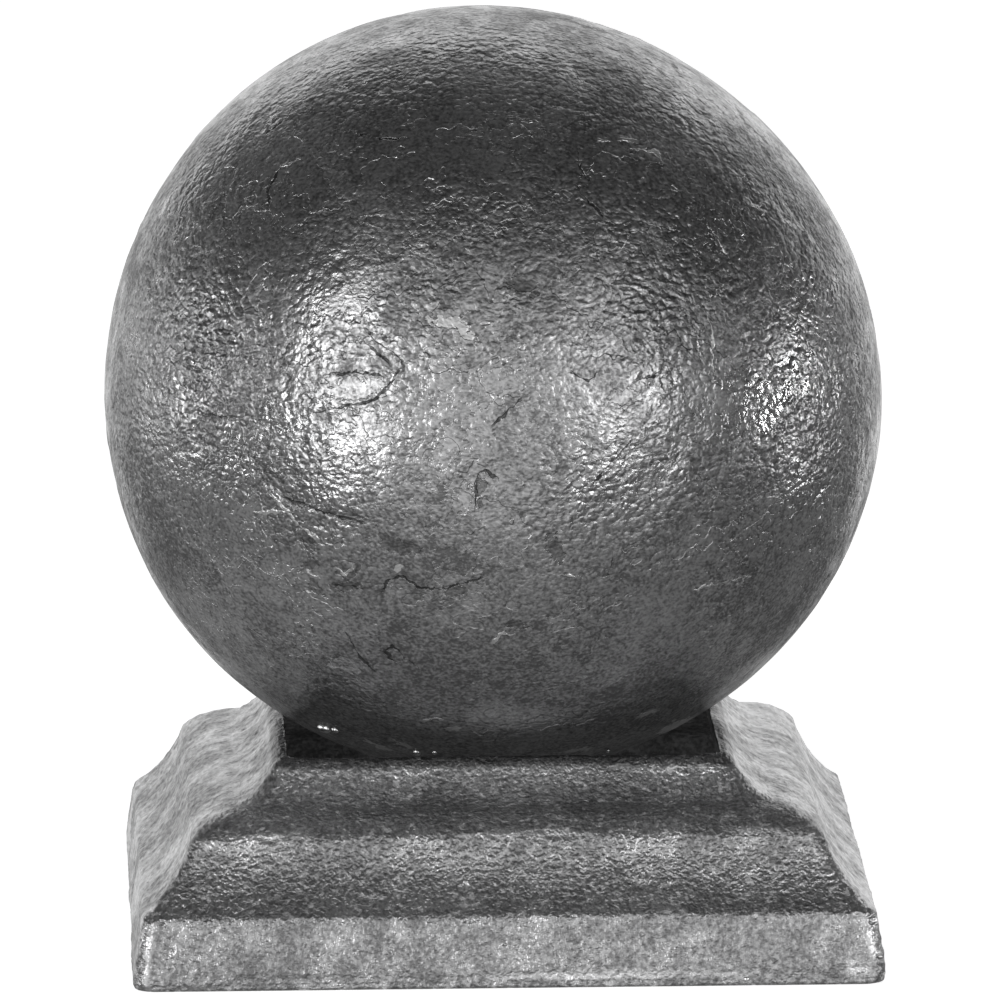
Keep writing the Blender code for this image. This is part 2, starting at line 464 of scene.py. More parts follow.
CHIPS = {
    "triangle": (217, 207, 15, 5, -62),
    "trough_a": (308, 541, 15, 5, 80),
    "trough_b": (309, 566, 8, 5, 0),
    "trough_c": (315, 588, 9, 5, 60),
    "dark_spot": (358, 568, 5, 4, 0),
    "long_hollow": (402, 548, 23, 6, 8),
    "flake_foot": (455, 592, 13, 5, 0),
    "lozenge": (518, 625, 11, 4, 0),
    "fork": (586, 178, 10, 4, -60),
    "oval_a": (626, 159, 10, 3, 0),
    "oval_b": (655, 166, 8, 3, 0),
    "under_arch": (480, 492, 14, 4, 90),
    "middle_hollow": (555, 548, 15, 8, 60),
    "right_rim_nick": (767, 152, 8, 3, 60),
    "trough_d": (272, 482, 30, 7, 46),
    "trough_foot": (345, 587, 14, 4, 0),
    "ring_shade": (346, 576, 12, 3, 0),
    "key_foot_a": (346, 516, 20, 5, 12),
    "key_foot_b": (386, 538, 12, 4, 35),
    "right_hollow": (748, 569, 10, 7, 40),
    "upper_hollow": (522, 285, 22, 7, 20),
    "right_scar": (700, 470, 16, 5, 60),
    "left_scar": (196, 262, 12, 5, -50),
}
PEBBLED = {
    "left_light": (205, 345, 100, 50, 80),
    "below_key": (325, 490, 60, 45, 20),
    "above_fill": (660, 345, 45, 60, 10),
    "right_light": (790, 385, 70, 35, 90),
    "below_fill": (590, 500, 70, 40, 0),
}


# A stroke fades out between these distances beside it, and past its ends from 0 to the first.
FADE_START, FADE_END = 5, 8


def photo_pixels(points, studio):
    """Where points fall in the photograph: their distance to the right and down of the camera's
    line of sight over their depth, times the focal length, from the picture's middle."""
    stand, right, up, back = (np.array(axis) for axis in camera_stand(studio))
    seen = points - stand
    scale = studio.focal_pixels / -(seen @ back)
    return PHOTO_PIXELS / 2 + np.stack([seen @ right * scale, -(seen @ up) * scale], axis=-1)


def towards_camera(normals, studio):
    """How far each normal faces the camera: its share along the camera's back direction."""
    _, _, back = camera_axes(studio)
    return normals @ np.array(back)


def stroke_field(pixels, route):
    """For each pixel its distance from a route of straight stretches, the same signed by the
    side it lies on, and how far it lies past the route's ends."""
    near = np.full(len(pixels), 1e6)
    signed, past = near.copy(), np.zeros(len(pixels))
    corners = np.array(route, dtype=float)
    last = len(corners) - 2
    for number, (start, end) in enumerate(zip(corners, corners[1:])):
        full = np.linalg.norm(end - start)
        along = (end - start) / full
        run = (pixels - start) @ along
        across = (pixels - start) @ (-along[1], along[0])
        gap = np.hypot(across, run - np.clip(run, 0, full))
        over = np.maximum(0, -run) * (number == 0) + np.maximum(0, run - full) * (number == last)
        nearer = gap < near
        near = np.where(nearer, gap, near)
        signed = np.where(nearer, np.where(over > 0, across, np.copysign(gap, across)), signed)
        past = np.where(nearer, over, past)
    return near, signed, past


def stroke_channels(pixels, shown, studio):
    """For each channel the signed distance in millimetres from its nearest stroke, and a number
    that fades from 1 to 0 beside the stroke and past its ends."""
    per_mm = studio.focal_pixels / studio.distance * MM
    channels = {}
    for channel, *route in STROKES.values():
        near, signed, past = stroke_field(pixels, route)
        on = 1 - smooth_step(FADE_START, FADE_END, near)
        on = on * (1 - smooth_step(0, FADE_START, past)) * shown
        if channel in channels:
            nearest, old_signed, old_on = channels[channel]
            nearer = near < nearest
            near = np.where(nearer, near, nearest)
            signed = np.where(nearer, signed, old_signed)
            on = np.where(nearer, on, old_on)
        channels[channel] = (near, signed, on)
    return {name: (signed / per_mm, on) for name, (_, signed, on) in channels.items()}


def patch_distance(pixels, patch):
    """The distance from a patch's middle, measured in its half length and half width."""
    x, y, half_length, half_width, slant = patch
    c, s = math.cos(math.radians(slant)), math.sin(math.radians(slant))
    across, down = (pixels - (x, y)).T
    return np.hypot((across * c + down * s) / half_length, (down * c - across * s) / half_width)


def patch_field(pixels, patches, shown):
    """One less the distance from the nearest patch's middle, and -1 well away from them all."""
    field = np.full(len(pixels), -1.0)
    for patch in patches.values():
        field = np.maximum(field, 1 - patch_distance(pixels, patch))
    return np.where(shown > 0, field, -1.0)


def ball_marks(points, directions, studio):
    """The attributes that the ball's material reads: its strokes, its flakes, painted light as
    highlights, its plates and chips, and how pebbled it is, which is more to the sides and less
    on the lower half."""
    pixels = photo_pixels(points, studio)
    shown = smooth_step(0.02, 0.12, towards_camera(directions, studio))
    marks = {
        "flake_highlight": patch_field(pixels, FLAKE_HIGHLIGHTS, shown),
        "plate": patch_field(pixels, PLATES, shown),
        "chip": patch_field(pixels, CHIPS, shown),
    }
    for name, (signed, on) in stroke_channels(pixels, shown, studio).items():
        marks[name] = signed
        marks[name + "_on"] = on
    bells = [np.exp(-(patch_distance(pixels, patch) ** 2)) for patch in PEBBLED.values()]
    marks["pebbled"] = 0.85 + 0.22 * smooth_step(0.55, 0.95, np.abs(directions[:, 0]))
    marks["pebbled"] += 0.55 * shown * np.clip(sum(bells), 0, 1)
    marks["pebbled"] -= 0.35 * smooth_step(0.1, -0.5, directions[:, 2])
    return marks


class POSTTOP_OT_ball(bpy.types.Operator):
    """Make the forged ball's skin"""

    bl_idname = "posttop.ball"
    bl_label = "Forged Ball"

    def execute(self, context):
        ball = context.scene.post_top.ball
        directions, quads = ball_directions(ball.cells)
        points = directions * ball_reach(directions, ball)[:, None]
        depth, bare = ball_relief(points, ball)
        centre = ball_centre(ball)
        marks = ball_marks(points + centre, directions, context.scene.post_top.studio)
        depth += ball.chip_depth * smooth_step(-0.1, 0.4, marks["chip"])
        placed = points - directions * depth[:, None] + centre
        piece = make_mesh("forged_ball", placed, quads, forged_material(ball))
        add_attributes(piece, {"bare": bare, **marks})
        stands_for(piece, "ball")
        return {"FINISHED"}


# The cast cap

# Points round a corner in plan, and how much wider they stand along a side than up the profile.
CORNER_POINTS = 7
SIDE_SPACING = 1.15


def line(start, end, spacing):
    """Points from start up to but not at end, evenly spaced on a straight line."""
    start, end = np.array(start), np.array(end)
    count = max(1, math.ceil(np.linalg.norm(end - start) / spacing))
    return start + (end - start) * (np.arange(count) / count)[:, None]


def arc(start, end, swell, spacing):
    """Points from start up to but not at end, on the circular arc that stands swell off their
    chord, to the right of the way along it. The radius is (half chord squared plus swell
    squared) over twice the swell."""
    start, end = np.array(start), np.array(end)
    chord = end - start
    full = np.linalg.norm(chord)
    along = chord / full
    across = np.array([along[1], -along[0]]) * math.copysign(1, swell)
    radius = (full**2 / 4 + swell**2) / (2 * abs(swell))
    sweep = 2 * math.asin(full / 2 / radius)
    count = max(1, math.ceil(radius * sweep / spacing))
    turn = (-sweep / 2 + sweep * np.arange(count) / count)[:, None]
    centre = (start + end) / 2 + across * (abs(swell) - radius)
    return centre + radius * (along * np.sin(turn) + across * np.cos(turn))


def cap_levels(cap):
    """The half widths and heights that the profile turns at, from the base inwards and up."""
    base = float(CAP_HIGH[0]) + cap.foot_round / cap.band_height * cap.band_draft
    band_top = base - cap.band_draft
    nose = band_top - cap.cove_run
    ledge = nose - cap.nose_run
    lip = ledge - cap.upper_run
    top = float(CAP_HIGH[2])
    nose_height = cap.band_height + cap.cove_rise
    ledge_height = nose_height + cap.nose_rise
    return {
        "base": (base, 0.0),
        "band_top": (band_top, cap.band_height),
        "nose": (nose, nose_height),
        "ledge": (ledge, ledge_height),
        "lip": (lip, top - cap.lip_rise),
        "lip_top": (lip - cap.lip_run, top),
        "opening": (lip - cap.lip_thickness, top),
        "socket": (base - cap.socket_wall, cap.socket_depth),
    }


def cap_profile(cap):
    """The closed profile as (half width, height) points, and the corner radius at each: up the
    outside from the foot, over the lip and down the inside."""
    at = cap_levels(cap)
    fine, coarse = cap.spacing, 4 * cap.spacing
    base = at["base"][0]
    top = at["opening"][1]
    socket, depth = at["socket"]
    foot_in = (base - cap.foot_round, 0.0)
    foot_out = (base - cap.foot_round / cap.band_height * cap.band_draft, cap.foot_round)
    bulge = 1 - math.sqrt(0.5)
    mouth = (socket + cap.socket_chamfer, 0.0)
    inside = [
        (at["opening"][0], top - cap.lip_depth),
        (at["ledge"][0] - cap.wall / 2, at["ledge"][1] - cap.wall),
        (at["nose"][0] - cap.wall, at["nose"][1] - cap.wall / 2),
        (socket - cap.shoulder, depth),
        (socket, depth),
        (socket, cap.socket_chamfer),
        mouth,
    ]
    band = [
        arc(foot_in, foot_out, cap.foot_round * bulge, fine / 2),
        line(foot_out, at["band_top"], fine),
    ]
    mouldings = [
        arc(at["band_top"], at["nose"], -cap.cove_hollow, fine),
        arc(at["nose"], at["ledge"], cap.nose_swell, fine),
        arc(at["ledge"], at["lip"], -cap.upper_hollow, fine),
        arc(at["lip"], at["lip_top"], cap.lip_swell, fine),
        line(at["lip_top"], at["opening"], fine),
    ]
    opening = [line(at["opening"], inside[0], fine)]
    hollow = [line(a, b, coarse) for a, b in zip(inside, inside[1:])]
    under = [line(mouth, foot_in, coarse)]
    groups = [
        (band, cap.band_corner),
        (mouldings, cap.moulding_corner),
        (opening, cap.opening_corner),
        (hollow, cap.socket_corner),
        (under, cap.band_corner),
    ]
    points = np.concatenate([piece for pieces, _ in groups for piece in pieces])
    corner = np.concatenate(
        [np.full(len(piece), radius) for pieces, radius in groups for piece in pieces]
    )
    return points, corner


def plan_directions(cap):
    """The plan of every ring, as two unit patterns: where a point sits on the square of corner
    centres, and which way it faces. A ring is the first times the inset plus the second times
    the corner radius."""
    side_count = math.ceil(2 * CAP_HIGH[0] / (SIDE_SPACING * cap.spacing))
    turns = np.linspace(0, math.pi / 2, CORNER_POINTS)
    along = 1 - 2 * np.arange(1, side_count) / side_count
    seats, facings = [], []
    for quarter in range(4):
        c, s = round(math.cos(quarter * math.pi / 2)), round(math.sin(quarter * math.pi / 2))
        spin = np.array([[c, s], [-s, c]])
        corner_seat = np.ones((len(turns), 2))
        corner_facing = np.stack([np.cos(turns), np.sin(turns)], axis=-1)
        side_seat = np.stack([along, np.ones_like(along)], axis=-1)
        side_facing = np.stack([np.zeros_like(along), np.ones_like(along)], axis=-1)
        seats += [corner_seat @ spin, side_seat @ spin]
        facings += [corner_facing @ spin, side_facing @ spin]
    return np.concatenate(seats), np.concatenate(facings)


def profile_normals(points):
    """Outward normals of a closed profile: its central differences, turned right."""
    along = np.roll(points, -1, axis=0) - np.roll(points, 1, axis=0)
    along /= np.linalg.norm(along, axis=1, keepdims=True)
    return np.stack([along[:, 1], -along[:, 0]], axis=-1)


def soften(points, passes):
    """A closed profile with its corners rounded: in each pass every point moves half way to the
    mean of its two neighbours."""
    for _ in range(passes):
        points = points / 2 + (np.roll(points, 1, axis=0) + np.roll(points, -1, axis=0)) / 4
    return points


def with_height(plan, height):
    """The plan vectors of each ring, with the ring's own upward part as their third number."""
    level = np.broadcast_to(height[:, None, None], plan.shape[:2] + (1,))
    return np.concatenate([plan, level], axis=-1)


class POSTTOP_OT_cap(bpy.types.Operator):
    """Make the cast cap's skin"""

    bl_idname = "posttop.cap"
    bl_label = "Cast Cap"

    def execute(self, context):
        cap = context.scene.post_top.cap
        profile, corner = cap_profile(cap)
        profile = soften(profile, cap.soften_passes)
        normals = profile_normals(profile)
        seats, facings = plan_directions(cap)
        half, height = profile[:, 0], profile[:, 1]
        plan = (half - corner)[:, None, None] * seats + corner[:, None, None] * facings
        points = with_height(plan, height)
        outward = with_height(normals[:, :1, None] * facings, normals[:, 1])
        depth, marks = cap_relief(points, outward, cap, context.scene.post_top.studio)
        placed = points - outward * depth[..., None]
        placed[..., 2] = np.clip(placed[..., 2], 0, CAP_HIGH[2])
        rings, around = points.shape[:2]
        index = np.arange(rings * around).reshape(rings, around)
        above, beside = np.roll(index, -1, axis=0), np.roll(index, -1, axis=1)
        across = np.roll(above, -1, axis=1)
        quads = np.stack([index, beside, across, above], axis=-1).reshape(-1, 4)
        piece = make_mesh("cast_cap", placed.reshape(-1, 3), quads, cast_material(cap))
        add_attributes(piece, marks)
        stands_for(piece, "post_cap")
        return {"FINISHED"}


# Patches on the cap's front, as on the ball: dents are sunk, and the bright patches are painted
# light: bare metal at the chipped corner, and painted highlights along the left arris, the nose,
# the left mitre and the foot edge.
DENTS = {
    "corner_chip": (880, 938, 5, 13, 0),
    "corner_chip_low": (862, 968, 10, 6, 0),
    "left_pit": (170, 950, 5, 4, 0),
    "band_pit": (392, 946, 6, 4, 20),
    "nose_nick": (270, 838, 14, 3, 0),
    "nose_nick_next": (560, 834, 18, 3, 0),
    "cove_pit": (640, 884, 8, 4, 0),
    "lip_nick": (486, 757, 14, 3, 0),
}
BARE_METAL_AND_EDGE_GLINTS = {
    "corner_chip": (876, 940, 7, 17, 0),
    "corner_chip_low": (860, 966, 13, 8, 0),
    "left_arris": (147, 960, 3, 32, 0),
    "left_nose": (270, 836, 34, 4, -3),
    "middle_nose": (520, 833, 60, 3, -1),
    "right_nose": (760, 829, 30, 3, 0),
    "foot_edge": (620, 975, 120, 4, -1),
    "left_mitre": (210, 845, 5, 3, 0),
}

# What the points are multiplied by, which draws the grain out from front to back.
DRAWN = (1.0, 0.35, 1.0)

# Sizes in the cap's skin: the waves of the line above its tucked foot, the stretches of the foot
# that are tucked, and the rubbed spots. Painted shade under the ball lies on this much of the
# top.
FOOT_WAVE = 11 * MM
TUCKED_SIZE = 38 * MM
RUBBED_SIZE = 6 * MM
LIP_SHADE_DEPTH = 1.8 * MM


def cap_relief(points, outward, cap, studio):
    """How far the skin lies below the true form, and its attributes. The depth is gentle
    unevenness, coarser sand marks, grit, a foot tucked in below a wandering line, and the dents.
    The attributes are how rubbed it is, which also rises towards the right, the painted shade on
    the lip under the ball, the bare metal with the painted edge highlights, and 1 on the left and
    right sides, where the grain is rougher and drawn out along them."""
    warp = sunk(points, cap.warp_depth, cap.warp_size, 211)
    sand = sunk(points * (1, 1, 1.2), cap.sand_depth, cap.sand_size, 223, 2, 0.6)
    side = smooth_step(0.1, 0.4, np.abs(outward[..., 0]))
    grit = 0.4 * (1 - side) * layered(points, cap.grit_size, 233, 1)
    grit += side * layered(points * DRAWN, cap.grit_size, 239, 1)
    grit = cap.grit_depth * (0.5 + 0.5 * grit)
    height = points[..., 2]
    flat = points * (1, 1, 0)
    foot_line = cap.tuck_height + 0.5 * MM * layered(flat, FOOT_WAVE, 241, 3, 0.6)
    tucked = smooth_step(-0.15, 0.2, layered(flat, TUCKED_SIZE, 251, 2))
    tuck = cap.tuck_depth * tucked * smooth_step(0.3 * MM, -0.2 * MM, height - foot_line)
    above = smooth_step(0.0, 0.9 * MM, height)
    pixels = photo_pixels(points, studio).reshape(-1, 2)
    shown = smooth_step(0.02, 0.10, towards_camera(outward.reshape(-1, 3), studio))
    outside = (height > 0).reshape(-1) * shown
    shape = points.shape[:-1]
    dent = smooth_step(-0.2, 0.7, patch_field(pixels, DENTS, outside)).reshape(shape)
    # Bare metal at the chips, and painted highlights along the edges.
    bare = smooth_step(-0.5, 0.5, patch_field(pixels, BARE_METAL_AND_EDGE_GLINTS, outside)).reshape(shape)
    across = points[..., 0] / CAP_HIGH[0]
    # Rubbed spots, and lighter towards the right.
    rubbed_and_right_lighter = smooth_step(0.1, 0.7, layered(points, RUBBED_SIZE, 227, 3)) + 0.4 * across
    # Painted shade on the lip under the ball.
    lip_shade = smooth_step(-LIP_SHADE_DEPTH, 0.5 * MM - LIP_SHADE_DEPTH, height - CAP_HIGH[2])
    marks = {"rubbed_and_right_lighter": rubbed_and_right_lighter, "lip_shade": lip_shade, "bare_metal_and_edge_glint": bare, "side": side}
    return (warp + sand + grit + tuck) * above + cap.dent_depth * dent, marks


class POSTTOP_OT_spatter(bpy.types.Operator):
    """Make the beads of weld spatter round the seat"""

    bl_idname = "posttop.spatter"
    bl_label = "Weld Spatter"

    def execute(self, context):
        studio = context.scene.post_top.studio
        round_points, quads = ball_directions(BEAD_CELLS)
        points, faces = [], []
        for host, x, y, half_width, half_height in BEADS.values():
            seat, facing = seat_of(bpy.data.objects[host], (x, y), studio)
            beside = np.cross((0, 0, 1), facing)
            beside /= np.linalg.norm(beside)
            upward = np.cross(facing, beside)
            sizes = np.array([half_width, half_height, min(half_width, half_height) * 0.8]) * MM
            faces.append(quads + len(round_points) * len(points))
            points.append(seat + (round_points * sizes) @ np.stack([beside, upward, facing]))
        ball = context.scene.post_top.ball
        piece = make_mesh(
            "weld_spatter", np.concatenate(points), np.concatenate(faces), bead_material(ball)
        )
        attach(piece, "root")
        return {"FINISHED"}


# Each bead: the piece that carries it, its pixel in the photograph, and its half width and half
# height in millimetres.
BEADS = {
    "large": ("forged_ball", 324, 728, 1.5, 0.9),
    "beside_large": ("forged_ball", 336, 731, 0.7, 0.6),
    "seat_left": ("forged_ball", 417, 753, 0.7, 0.7),
    "seat_left_next": ("forged_ball", 435, 752, 0.45, 0.45),
    "seat_right": ("forged_ball", 610, 750, 0.4, 0.35),
    "foot": ("cast_cap", 748, 979, 0.5, 0.4),
}


def seat_of(piece, pixel, studio):
    """The point of a piece that faces the camera nearest to a pixel, and its outward normal."""
    count = len(piece.data.vertices)
    points, normals = np.empty(count * 3), np.empty(count * 3)
    piece.data.vertices.foreach_get("co", points)
    piece.data.vertex_normals.foreach_get("vector", normals)
    points, normals = points.reshape(-1, 3), normals.reshape(-1, 3)
    away = np.linalg.norm(photo_pixels(points, studio) - pixel, axis=1)
    away = np.where(towards_camera(normals, studio) > 0.1, away, np.inf)
    nearest = int(np.argmin(away))
    return points[nearest], normals[nearest]


def bead_material(ball):
    """Weld spatter: small smooth drops, a little lighter than the scale."""
    material, tree, shader, place = new_material("weld spatter")
    shade = ramp_node(tree, noise_node(tree, place, 0.6 * MM), 0.35, 0.65)
    colour = mix_colour(tree, shade, (*ball.light, 1), (0.9, 0.9, 0.9, 1))
    feed_all(tree, shader, Base_Color=colour, Roughness=0.3, Metallic=1.0)
    return material


# Materials


def new_material(name):
    """An empty material with its output, its Principled shader and an Object coordinate."""
    material = bpy.data.materials.new(name)
    material.use_nodes = True
    tree = material.node_tree
    tree.nodes.clear()
    output = tree.nodes.new("ShaderNodeOutputMaterial")
    shader = tree.nodes.new("ShaderNodeBsdfPrincipled")
    coordinate = tree.nodes.new("ShaderNodeTexCoord")
    tree.links.new(shader.outputs["BSDF"], output.inputs["Surface"])
    return material, tree, shader, coordinate.outputs["Object"]


def new_group(name, inputs, outputs):
    """An empty node group whose sockets are numbers, apart from inputs without a default, which
    are vectors."""
    tree = bpy.data.node_groups.new(name, "ShaderNodeTree")
    for socket_name, default in inputs.items():
        kind = "NodeSocketVector" if default is None else "NodeSocketFloat"
        socket = tree.interface.new_socket(socket_name, in_out="INPUT", socket_type=kind)
        if default is not None:
            socket.default_value = default
    for socket_name in outputs:
        tree.interface.new_socket(socket_name, in_out="OUTPUT", socket_type="NodeSocketFloat")
    entry = tree.nodes.new("NodeGroupInput")
    leave = tree.nodes.new("NodeGroupOutput")
    return tree, entry.outputs, leave.inputs


def feed(tree, socket, value):
    """Link a socket to another, or set it to a plain value."""
    if isinstance(value, bpy.types.NodeSocket):
        tree.links.new(value, socket)
    elif value is not None:
        socket.default_value = value


def feed_all(tree, node, **values):
    """Feed a node's inputs by name; the names' underscores stand for spaces."""
    for name, value in values.items():
        feed(tree, node.inputs[name.replace("_", " ")], value)
    return node.outputs


def math_node(tree, operation, a, b=None, c=None, clamp=False):
    node = tree.nodes.new("ShaderNodeMath")
    node.operation = operation
    node.use_clamp = clamp
    for socket, value in zip(node.inputs, (a, b, c)):
        feed(tree, socket, value)
    return node.outputs[0]


def times(tree, a, b):
    return math_node(tree, "MULTIPLY", a, b)


def vector_node(tree, operation, a, b=None, scale=None):
    node = tree.nodes.new("ShaderNodeVectorMath")
    node.operation = operation
    feed(tree, node.inputs[0], a)
    feed(tree, node.inputs[1], b)
    if scale is not None:
        feed(tree, node.inputs["Scale"], scale)
    return node.outputs[0]


def ramp_node(tree, value, low, high, to_low=0.0, to_high=1.0):
    """A smooth step from one value to another."""
    node = tree.nodes.new("ShaderNodeMapRange")
    node.interpolation_type = "SMOOTHSTEP"
    span = {"From_Min": low, "From_Max": high, "To_Min": to_low, "To_Max": to_high}
    return feed_all(tree, node, Value=value, **span)["Result"]


def per_metre(tree, size):
    """One over a size, which is a number or a socket."""
    if isinstance(size, bpy.types.NodeSocket):
        return math_node(tree, "DIVIDE", 1.0, size)
    return 1 / size


def noise_node(tree, vector, size, detail=2.0, roughness=0.5, colour=False):
    """Layered noise with features of about this size in metres."""
    node = tree.nodes.new("ShaderNodeTexNoise")
    scale = per_metre(tree, size)
    feed_all(tree, node, Vector=vector, Scale=scale, Detail=detail, Roughness=roughness)
    return node.outputs["Color" if colour else "Fac"]


def cell_node(tree, vector, size):
    """The distance to the nearest of points scattered one to a cell of this size in metres."""
    node = tree.nodes.new("ShaderNodeTexVoronoi")
    return feed_all(tree, node, Vector=vector, Scale=per_metre(tree, size))["Distance"]


def mix_colour(tree, factor, a, b):
    node = tree.nodes.new("ShaderNodeMix")
    node.data_type = "RGBA"
    return feed_all(tree, node, Factor=factor, A=a, B=b)["Result"]


def attribute_node(tree, name):
    node = tree.nodes.new("ShaderNodeAttribute")
    node.attribute_name = name
    return node.outputs["Fac"]


def place_group(tree, group, **values):
    """A group node with some of its inputs fed."""
    node = tree.nodes.new("ShaderNodeGroup")
    node.node_tree = group
    return feed_all(tree, node, **values)


def drifted(tree, vector, size, amount_m):
    """The vector pushed about by noise of this size, by up to this many metres."""
    push = noise_node(tree, vector, size, 0.0, 0.5, colour=True)
    centred = vector_node(tree, "SUBTRACT", push, (0.5, 0.5, 0.5))
    return vector_node(tree, "ADD", vector, vector_node(tree, "SCALE", centred, scale=amount_m))


def pebble_group():
    """Pebbles: domes between creases, drawn out level, as mill scale has them, and fine grit."""
    defaults = {"Vector": None, "Size": MM, "Stretch": 1.5, "Push": MM}
    tree, entry, leave = new_group("Pebbled relief", defaults, ["Height", "Fine"])
    combine = tree.nodes.new("ShaderNodeCombineXYZ")
    level = feed_all(tree, combine, X=1.0, Y=1.0, Z=entry["Stretch"])[0]
    level = vector_node(tree, "MULTIPLY", entry["Vector"], level)
    moved = drifted(tree, level, times(tree, entry["Size"], 3.2), entry["Push"])
    domes = cell_node(tree, moved, entry["Size"])
    domes = math_node(tree, "SUBTRACT", 1.0, times(tree, domes, domes))
    ripple = noise_node(tree, moved, times(tree, entry["Size"], 1.1), 1.0)
    fine = noise_node(tree, moved, times(tree, entry["Size"], 0.45), 1.0)
    tree.links.new(math_node(tree, "ADD", times(tree, domes, 0.5), ripple), leave["Height"])
    tree.links.new(fine, leave["Fine"])
    return tree


def grain_group():
    """Sand grain: even noise with finer noise on it, and light specks, which are painted glints.
    """
    defaults = {"Vector": None, "Size": MM}
    tree, entry, leave = new_group("Sand grain", defaults, ["Height", "Speck Glint"])
    coarse = noise_node(tree, entry["Vector"], entry["Size"], 1.0)
    fine = noise_node(tree, entry["Vector"], times(tree, entry["Size"], 0.45), 1.0)
    shifted = vector_node(tree, "ADD", entry["Vector"], (0.31, 0.17, 0.53))
    speck_glint = noise_node(tree, shifted, times(tree, entry["Size"], 0.8), 1.0)
    tree.links.new(math_node(tree, "MULTIPLY_ADD", fine, 0.35, coarse), leave["Height"])
    tree.links.new(ramp_node(tree, speck_glint, 0.25, 0.75), leave["Speck Glint"])
    return tree


def patch_group():
    """Tonal patches: broad clouds and finer mottling, from 0 to 1."""
    defaults = {"Vector": None, "Broad Size": 20 * MM, "Mottle Size": 4 * MM, "Mottle": 0.5}
    tree, entry, leave = new_group("Tonal patches", defaults, ["Tone"])
    broad = noise_node(tree, entry["Vector"], entry["Broad Size"], 3.0, 0.6)
    small = noise_node(tree, entry["Vector"], entry["Mottle Size"], 3.0, 0.65)
    broad = ramp_node(tree, broad, 0.3, 0.7)
    small = ramp_node(tree, small, 0.3, 0.7, -0.5, 0.5)
    tone = math_node(tree, "MULTIPLY_ADD", small, entry["Mottle"], broad, clamp=True)
    tree.links.new(tone, leave["Tone"])
    return tree


def shared(name, build):
    """The node group of this name, built the first time it is asked for."""
    return bpy.data.node_groups.get(name) or build()


def bump_node(tree, height_mm):
    """A bump whose height is in millimetres, at its real size."""
    node = tree.nodes.new("ShaderNodeBump")
    return feed_all(tree, node, Strength=1.0, Distance=MM, Height=height_mm)["Normal"]


def stroke_mask(tree, channel, half_width, wobble):
    """1 on the strokes of a channel: their distance, made to waver, is less than the width."""
    apart = math_node(tree, "ADD", attribute_node(tree, channel), wobble)
    apart = math_node(tree, "ABSOLUTE", apart)
    line = ramp_node(tree, apart, times(tree, half_width, 0.4), half_width, 1.0, 0.0)
    return times(tree, line, attribute_node(tree, channel + "_on"))


def ragged_mask(tree, name, rag):
    """1 inside the patches of an attribute, whose borders are torn by noise."""
    return ramp_node(tree, math_node(tree, "ADD", attribute_node(tree, name), rag), -0.09, 0.09)


def largest(tree, values):
    """The largest of several sockets."""
    best, *others = values
    for value in others:
        best = math_node(tree, "MAXIMUM", best, value)
    return best


def blend(tree, factor, a, b):
    """The number a where the factor is 0, and b where it is 1."""
    return math_node(tree, "MULTIPLY_ADD", factor, math_node(tree, "SUBTRACT", b, a), a)


def weighted(tree, start, terms):
    """The start plus each socket times its weight."""
    total = start
    for socket, weight in terms:
        total = math_node(tree, "MULTIPLY_ADD", socket, weight, total)
    return total


# The noise in the forged skin: its size, detail and roughness, the values that its mask rises
# between, and what the mask goes from and to where that isn't 0 and 1.
FORGED_NOISE = {
    "loose": (9 * MM, 3.0, 0.62, 0.565, 0.580),
    "zone": (17 * MM, 0.0, 0.5, 0.42, 0.56, 0.25, 1.0),
    "crust": (3.2 * MM, 3.0, 0.68, 0.505, 0.545),
    "swell": (2.6 * MM, 0.0, 0.5, 0.38, 0.62, 0.35, 1.5),
    "uneven": (26 * MM, 1.0, 0.5, 0.36, 0.62, 0.7, 1.3),
}
# The half width of a crack in millimetres, before it swells and shrinks along its way, and how
# many times wider a ridge is.
STROKE_WIDTH = 0.2
RIDGE_WIDER = 1.35


